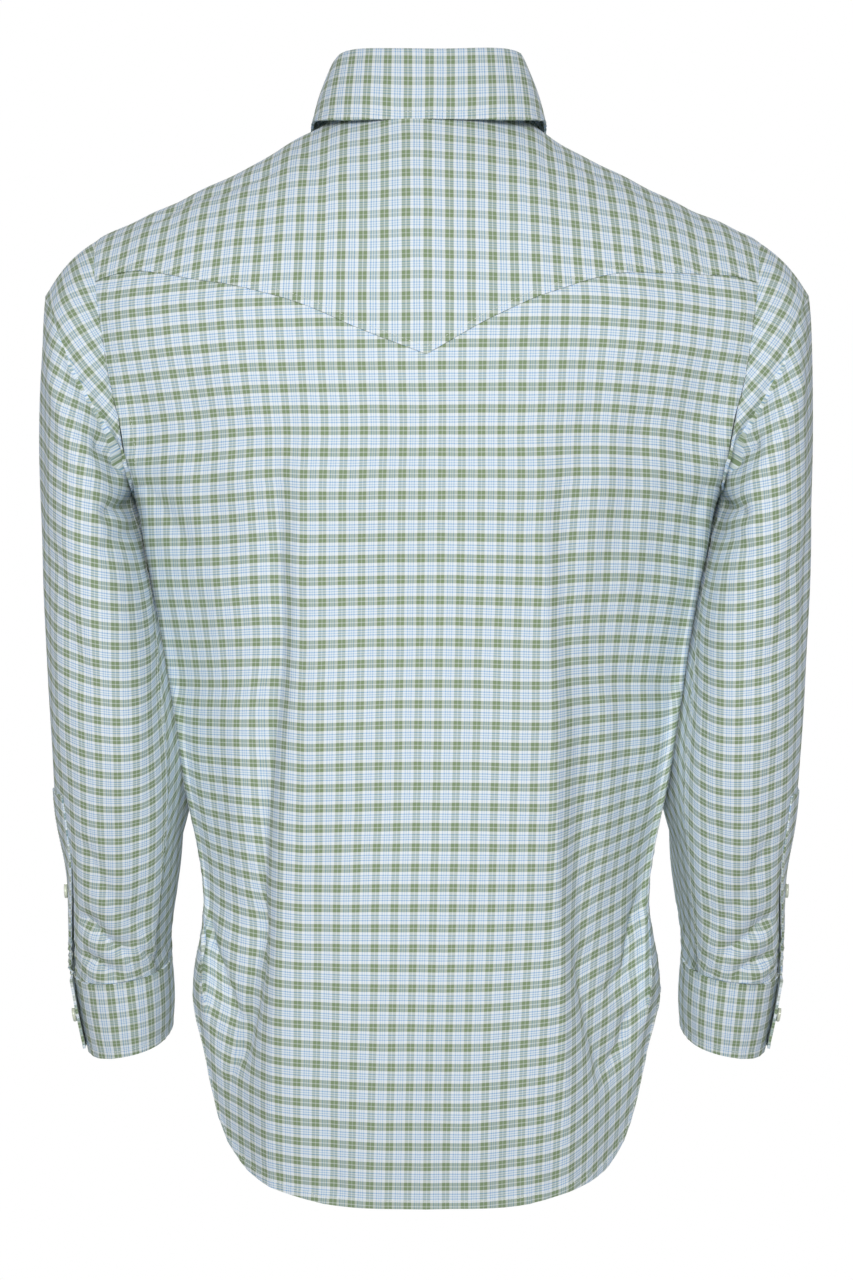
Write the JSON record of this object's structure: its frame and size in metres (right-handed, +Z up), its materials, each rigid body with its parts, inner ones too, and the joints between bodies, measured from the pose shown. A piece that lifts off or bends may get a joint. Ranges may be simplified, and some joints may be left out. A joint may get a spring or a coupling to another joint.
{
  "type": "button-up shirt",
  "caption": "Long-sleeved button-up shirt with a pointed back yoke, folded collar, cuffs and a curved hem, filled out as if worn.",
  "frame": {"origin": "middle of the neck, level with the points where the collar meets the shoulder line: where the wearer holds the shirt up", "axes": "+Z up along the wearer's spine, -Y the way the wearer faces, +X the wearer's left"},
  "size_m": [0.5786, 0.2578, 0.8538],
  "materials": {
    "cloth": "plain-woven cotton in a green, white and blue check",
    "button": "pale pearl-like polyester"
  },
  "bodies": {
    "root": {"back": "cloth", "back_yoke": "cloth", "collar_button": "button", "collar_leaf": "cloth", "collar_stand": "cloth", "cuff_button_left": "button", "cuff_button_right": "button", "cuff_left": "cloth", "cuff_right": "cloth", "front_button_1": "button", "front_button_2": "button", "front_button_3": "button", "front_button_4": "button", "front_button_5": "button", "front_button_6": "button", "front_button_7": "button", "front_left": "cloth", "front_placket": "cloth", "front_right": "cloth", "sleeve_button_left": "button", "sleeve_button_right": "button", "sleeve_left": "cloth", "sleeve_placket_left": "cloth", "sleeve_placket_right": "cloth", "sleeve_right": "cloth"}
  },
  "joints": []
}
